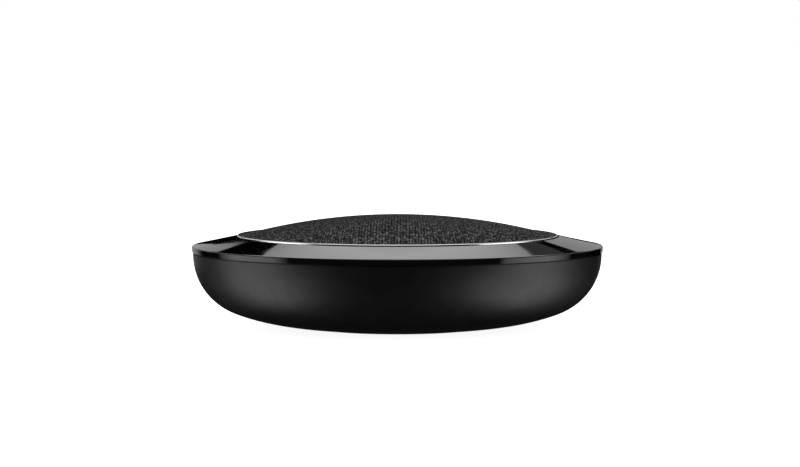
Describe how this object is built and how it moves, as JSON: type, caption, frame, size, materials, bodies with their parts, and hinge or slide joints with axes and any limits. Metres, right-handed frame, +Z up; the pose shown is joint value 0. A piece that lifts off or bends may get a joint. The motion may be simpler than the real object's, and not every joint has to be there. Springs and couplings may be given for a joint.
{
  "type": "conference speakerphone",
  "caption": "Round table-top conference speakerphone: satin bowl on a rubber foot, sloping gloss touch ring, thin bright trim ring and a domed speaker grille, with sockets in a rear recess.",
  "frame": {"origin": "on the table under the middle of the object, on the axis of the round body", "axes": "+Z up along the axis of the round body; -Y is the front; +Y is the rear, where the sockets and the power button are"},
  "size_m": [0.2, 0.2, 0.0545],
  "materials": {
    "bowl_plastic": "satin black moulded plastic",
    "foot_rubber": "matt black rubber",
    "label_foil": "blank silver-grey rating label",
    "ballast_steel": "zinc-plated steel",
    "zinc_screws": "zinc-plated screws",
    "black_screws": "black oxide screws",
    "chassis_plastic": "black structural plastic",
    "gloss_panel": "high-gloss black touch surface",
    "sensor_film": "amber flexible circuit",
    "frosted_guide": "frosted light guide",
    "green_board": "green solder mask over glass fibre",
    "led_body": "light package",
    "mic_metal": "plated microphone can",
    "bright_trim": "bright trim",
    "grille_metal": "powder-coated perforated steel",
    "acoustic_cloth": "black acoustic cloth",
    "basket_metal": "black coated frame",
    "gasket_foam": "closed-cell gasket",
    "magnet_ferrite": "dark grey ferrite",
    "motor_steel": "plated motor steel",
    "surround_rubber": "butyl half-roll",
    "spider_cloth": "resin-treated cotton",
    "cone_paper": "coated pulp",
    "former_paper": "aluminium former",
    "coil_copper": "enamelled copper winding",
    "cup_plastic": "black moulded cup",
    "lead_insulation": "insulated wire",
    "connector_plastic": "natural nylon",
    "chip_epoxy": "moulded epoxy package",
    "tinplate": "tinned shield",
    "heatsink_alu": "black anodised fins",
    "capacitor_sleeve": "sleeved cans",
    "ribbon_film": "flat cable",
    "jack_plastic": "black socket housing",
    "contact_metal": "plated contact",
    "socket_steel": "nickel-plated shell",
    "switch_plastic": "switch housing",
    "button_plastic": "satin dark grey cap"
  },
  "bodies": {
    "housing": {"base_shell": "bowl_plastic", "foot_ring": "foot_rubber", "bottom_label": "label_foil", "ballast_plate": "ballast_steel", "ballast_screws": "zinc_screws", "base_screws": "black_screws", "chassis": "chassis_plastic", "touch_panel": "gloss_panel", "touch_film": "sensor_film", "light_guide": "frosted_guide", "led_board": "green_board", "status_leds": "led_body", "mic_boards": "green_board", "mic_capsules": "mic_metal", "mic_boots": "gasket_foam", "trim_ring": "bright_trim", "grille_dome": "grille_metal", "grille_cloth": "acoustic_cloth", "speaker_basket": "basket_metal", "basket_gasket": "gasket_foam", "speaker_screws": "black_screws", "magnet_yoke": "motor_steel", "magnet_ring": "magnet_ferrite", "magnet_top_plate": "motor_steel", "speaker_surround": "surround_rubber", "speaker_spider": "spider_cloth", "speaker_enclosure": "cup_plastic", "enclosure_gasket": "gasket_foam", "enclosure_screws": "black_screws", "terminal_strip": "connector_plastic", "speaker_lead": "lead_insulation", "lead_grommet": "gasket_foam", "lead_connector": "connector_plastic", "main_board": "green_board", "board_screws": "zinc_screws", "board_chips": "chip_epoxy", "shield_can": "tinplate", "amplifier_heatsink": "heatsink_alu", "board_capacitors": "capacitor_sleeve", "ribbon_connector": "connector_plastic", "touch_ribbon": "ribbon_film", "dc_jack": "jack_plastic", "dc_jack_pin": "contact_metal", "usb_socket": "socket_steel", "usb_tongue": "jack_plastic", "line_jack": "jack_plastic", "button_switch": "switch_plastic"},
    "diaphragm": {"speaker_cone": "cone_paper", "dust_cap": "cone_paper", "voice_coil_former": "former_paper", "voice_coil": "coil_copper"},
    "power_button": {"power_button_cap": "button_plastic", "switch_plunger": "connector_plastic"}
  },
  "joints": [
    {"name": "cone_excursion", "type": "slide", "parent": "housing", "child": "diaphragm", "axis": [0, 0, 1], "range_m": [-0.0025, 0.0025], "stiffness_N_per_m": 2500, "deforming": ["speaker_surround", "speaker_spider"]},
    {"name": "power_press", "type": "slide", "parent": "housing", "child": "power_button", "axis": [0, -1, 0], "range_m": [0, 0.0008], "stiffness_N_per_m": 3000}
  ]
}
